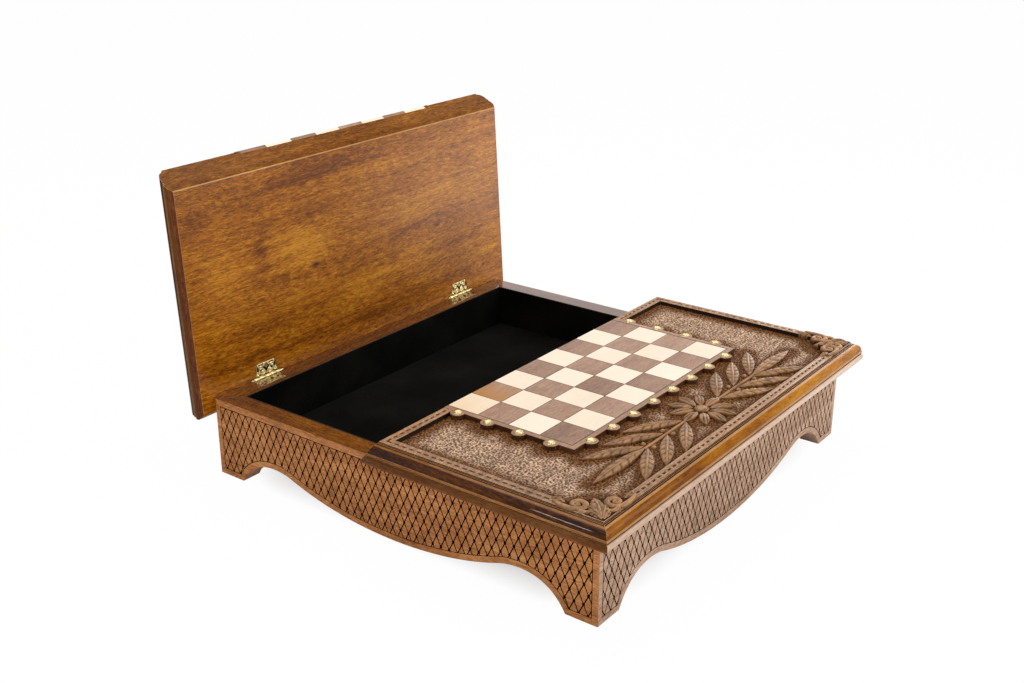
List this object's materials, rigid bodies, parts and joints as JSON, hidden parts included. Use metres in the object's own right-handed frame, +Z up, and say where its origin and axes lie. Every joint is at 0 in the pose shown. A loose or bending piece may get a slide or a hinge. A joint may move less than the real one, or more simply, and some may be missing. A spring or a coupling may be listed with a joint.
{
  "type": "chess box",
  "caption": "Low square wooden box on bracket feet with a carved chess board in two hinged leaves over one felt-lined compartment.",
  "frame": {"origin": "centre of the footprint on the floor, with the front leaf closed and the rear leaf open on its stop", "axes": "+Z up, +X along the hinges to the right as seen from the front, +Y from the front leaf to the rear leaf"},
  "size_m": [0.561, 0.5836, 0.3508],
  "materials": {
    "lattice_walnut": "satin lacquer over a cut lattice",
    "walnut": "glossy lacquer",
    "carved_walnut": "dark stain, satin",
    "maple": "satin lacquer",
    "pale_walnut": "satin lacquer",
    "black_stringing": "satin lacquer",
    "plywood": "bare",
    "felt": "matt nap",
    "antique_brass": "aged, satin",
    "steel": "zinc plated"
  },
  "bodies": {
    "base": {"front_panel": "lattice_walnut", "back_panel": "lattice_walnut", "left_panel": "lattice_walnut", "right_panel": "lattice_walnut", "bottom_board": "plywood", "front_ledger": "plywood", "back_ledger": "plywood", "left_ledger": "plywood", "right_ledger": "plywood", "ledger_screws": "steel", "front_left_block": "plywood", "front_right_block": "plywood", "back_left_block": "plywood", "back_right_block": "plywood", "felt_floor": "felt", "front_felt": "felt", "back_felt": "felt", "left_felt": "felt", "right_felt": "felt", "front_left_hinge_base": "antique_brass", "front_left_hinge_pin": "antique_brass", "front_right_hinge_base": "antique_brass", "front_right_hinge_pin": "antique_brass", "rear_left_hinge_base": "antique_brass", "rear_left_hinge_pin": "antique_brass", "rear_right_hinge_base": "antique_brass", "rear_right_hinge_pin": "antique_brass", "front_base_screws": "antique_brass", "rear_base_screws": "antique_brass"},
    "front_lid": {"front_leaf": "walnut", "front_board_plate": "carved_walnut", "front_light_squares": "maple", "front_dark_squares": "pale_walnut", "front_stringing": "black_stringing", "front_studs": "antique_brass", "front_spray_carving": "carved_walnut", "front_corner_carvings": "carved_walnut", "front_left_hinge_flap": "antique_brass", "front_right_hinge_flap": "antique_brass", "front_flap_screws": "antique_brass"},
    "rear_lid": {"rear_leaf": "walnut", "rear_board_plate": "carved_walnut", "rear_light_squares": "maple", "rear_dark_squares": "pale_walnut", "rear_stringing": "black_stringing", "rear_studs": "antique_brass", "rear_spray_carving": "carved_walnut", "rear_corner_carvings": "carved_walnut", "rear_left_hinge_flap": "antique_brass", "rear_right_hinge_flap": "antique_brass", "rear_flap_screws": "antique_brass"}
  },
  "joints": [
    {"name": "front_lid_hinge", "type": "hinge", "parent": "base", "child": "front_lid", "pos_m": [0, -0.27143, 0.0931], "axis": [1, 0, 0], "range_deg": [0, 93.32]},
    {"name": "rear_lid_hinge", "type": "hinge", "parent": "base", "child": "rear_lid", "pos_m": [0, 0.24877, 0.0931], "axis": [1, 0, 0], "range_deg": [0, 93.32]}
  ]
}
